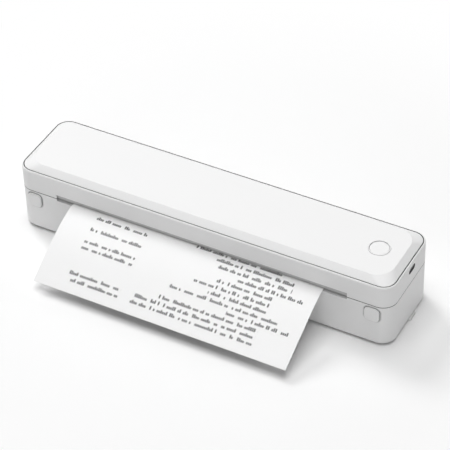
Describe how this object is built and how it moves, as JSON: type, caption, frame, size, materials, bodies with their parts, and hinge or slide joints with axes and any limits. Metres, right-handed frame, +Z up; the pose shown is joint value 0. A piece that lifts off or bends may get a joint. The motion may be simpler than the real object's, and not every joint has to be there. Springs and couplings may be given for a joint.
{
  "type": "portable thermal printer",
  "caption": "Long, low A4 portable thermal printer: hinged cover with print head and power button over a paper roll, geared platen roller and front paper slot.",
  "frame": {"origin": "on the table under the middle of the body, on the underside of the middle foot bar", "axes": "+X along the body to the end with the USB socket, +Y to the hinge at the rear, +Z up"},
  "size_m": [0.3144, 0.1288, 0.0604],
  "materials": {
    "shell_plastic": "fine satin texture",
    "inner_plastic": "matt",
    "foot_rubber": "matt",
    "roller_rubber": "ground matt",
    "sheet_steel": "zinc plated",
    "bright_steel": "ground",
    "screw_steel": "zinc plated",
    "spring_steel": "drawn wire",
    "nylon": "satin",
    "brass": "machined",
    "cell_wrap": "shrink film",
    "thermal_paper": "smooth coated",
    "core_board": "wound board",
    "circuit_board": "solder mask",
    "black_plastic": "moulded",
    "aluminium": "extruded",
    "head_ceramic": "glazed",
    "ring_plastic": "clear satin",
    "socket_metal": "plated"
  },
  "bodies": {
    "base": {"lower_shell": "shell_plastic", "rubber_feet": "foot_rubber", "base_screws": "screw_steel", "left_side_frame": "sheet_steel", "right_side_frame": "sheet_steel", "paper_tray": "inner_plastic", "tear_bar": "bright_steel", "paper_sensor": "black_plastic", "left_end_cover": "inner_plastic", "right_end_cover": "inner_plastic", "end_cover_screws": "screw_steel", "battery_pack": "cell_wrap", "stepper_motor": "sheet_steel", "motor_screws": "screw_steel", "idler_stud": "bright_steel", "left_platen_bearing": "nylon", "right_platen_bearing": "nylon", "hinge_pins": "bright_steel", "left_release_spring": "spring_steel", "right_release_spring": "spring_steel", "paper_web": "thermal_paper"},
    "platen": {"platen_shaft": "bright_steel", "platen_rubber": "roller_rubber", "platen_gear": "nylon"},
    "idler": {"idler_gear": "nylon"},
    "motor_rotor": {"motor_shaft": "bright_steel", "motor_pinion": "brass"},
    "roll": {"paper_roll": "thermal_paper", "paper_core": "core_board"},
    "left_release": {"left_release": "shell_plastic"},
    "right_release": {"right_release": "shell_plastic"},
    "cover": {"upper_shell": "shell_plastic", "top_plate": "shell_plastic", "cover_liner": "inner_plastic", "cover_screws": "screw_steel", "head_carrier": "sheet_steel", "carrier_screws": "screw_steel", "head_springs": "spring_steel", "main_board": "circuit_board", "board_screws": "screw_steel", "usb_socket": "socket_metal", "power_switch": "black_plastic", "light_ring": "ring_plastic"},
    "power_button": {"power_button": "shell_plastic"},
    "print_head": {"head_heatsink": "aluminium", "head_ceramic": "head_ceramic", "head_driver_cover": "black_plastic", "head_pivot_pins": "bright_steel"}
  },
  "joints": [
    {"name": "cover_hinge", "type": "hinge", "parent": "base", "child": "cover", "pos_m": [0, 0.0324, 0.0375], "axis": [-1, 0, 0], "range_deg": [0, 85]},
    {"name": "platen_spin", "type": "hinge", "parent": "base", "child": "platen", "pos_m": [0, -0.02, 0.031], "axis": [1, 0, 0], "continuous": true},
    {"name": "idler_spin", "type": "hinge", "parent": "base", "child": "idler", "pos_m": [0, -0.01201, 0.02498], "axis": [1, 0, 0], "continuous": true},
    {"name": "motor_spin", "type": "hinge", "parent": "base", "child": "motor_rotor", "pos_m": [0, -0.01709, 0.01302], "axis": [1, 0, 0], "continuous": true},
    {"name": "roll_spin", "type": "hinge", "parent": "base", "child": "roll", "pos_m": [0, 0.01, 0.02035], "axis": [1, 0, 0], "continuous": true},
    {"name": "left_release_press", "type": "slide", "parent": "base", "child": "left_release", "axis": [0, 1, 0], "range_m": [0, 0.0015], "stiffness_N_per_m": 800, "springref_m": -0.002, "deforming": ["left_release_spring"]},
    {"name": "right_release_press", "type": "slide", "parent": "base", "child": "right_release", "axis": [0, 1, 0], "range_m": [0, 0.0015], "stiffness_N_per_m": 800, "springref_m": -0.002, "deforming": ["right_release_spring"]},
    {"name": "power_press", "type": "slide", "parent": "cover", "child": "power_button", "axis": [0, 0, -1], "range_m": [0, 0.00045], "stiffness_N_per_m": 2500, "springref_m": -0.0002},
    {"name": "head_lift", "type": "hinge", "parent": "cover", "child": "print_head", "pos_m": [0, -0.01, 0.041], "axis": [-1, 0, 0], "range_deg": [0, 3], "stiffness_Nm_per_rad": 1, "springref_deg": -5.73, "deforming": ["head_springs"]}
  ],
  "couplings": [
    {"joint": "idler_spin", "follows": "platen_spin", "ratio": -1.5},
    {"joint": "motor_spin", "follows": "platen_spin", "ratio": 5},
    {"joint": "roll_spin", "follows": "platen_spin", "ratio": 0.35484}
  ]
}
